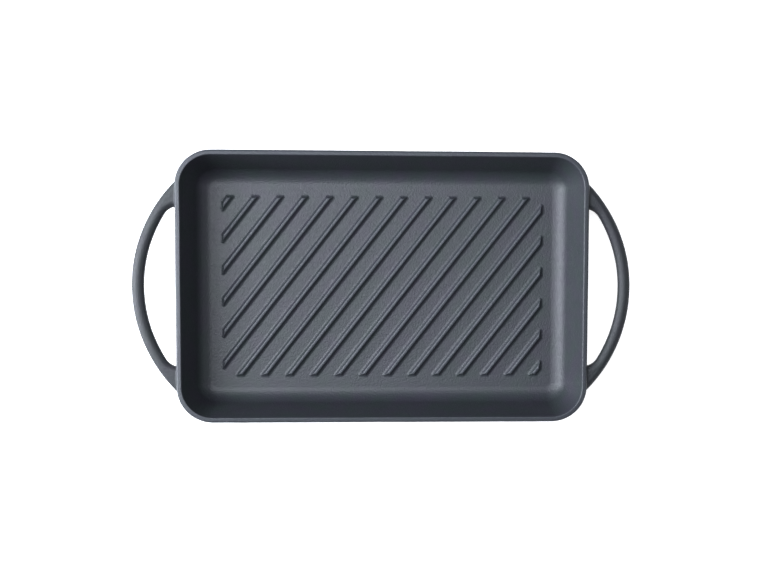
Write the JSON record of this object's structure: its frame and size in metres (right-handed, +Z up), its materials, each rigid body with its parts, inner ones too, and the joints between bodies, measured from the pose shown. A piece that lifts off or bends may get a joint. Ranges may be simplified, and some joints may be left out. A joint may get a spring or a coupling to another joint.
{
  "type": "cast iron grill pan",
  "caption": "Rectangular cast iron grill pan: a flared tray with slanting ribs on its floor and a bow handle at each short end.",
  "frame": {"origin": "centre of the pan on the plane that it stands on", "axes": "+X along the pan towards the right handle, +Y across it towards the far long side, +Z up towards the rim"},
  "size_m": [0.4, 0.217, 0.042],
  "materials": {
    "matte_iron": "sand cast, seasoned, matte dark grey",
    "rubbed_iron": "sand cast, seasoned, matte dark grey, handled"
  },
  "bodies": {
    "root": {"pan_floor": "matte_iron", "pan_wall": "matte_iron", "rim": "rubbed_iron", "base_ring": "matte_iron", "handle_left": "rubbed_iron", "handle_right": "rubbed_iron", "rib_01": "matte_iron", "rib_02": "matte_iron", "rib_03": "matte_iron", "rib_04": "matte_iron", "rib_05": "matte_iron", "rib_06": "matte_iron", "rib_07": "matte_iron", "rib_08": "matte_iron", "rib_09": "matte_iron", "rib_10": "matte_iron", "rib_11": "matte_iron", "rib_12": "matte_iron", "rib_13": "matte_iron", "rib_14": "matte_iron", "rib_15": "matte_iron", "rib_16": "matte_iron", "rib_17": "matte_iron", "rib_18": "matte_iron", "rib_19": "matte_iron"}
  },
  "joints": []
}
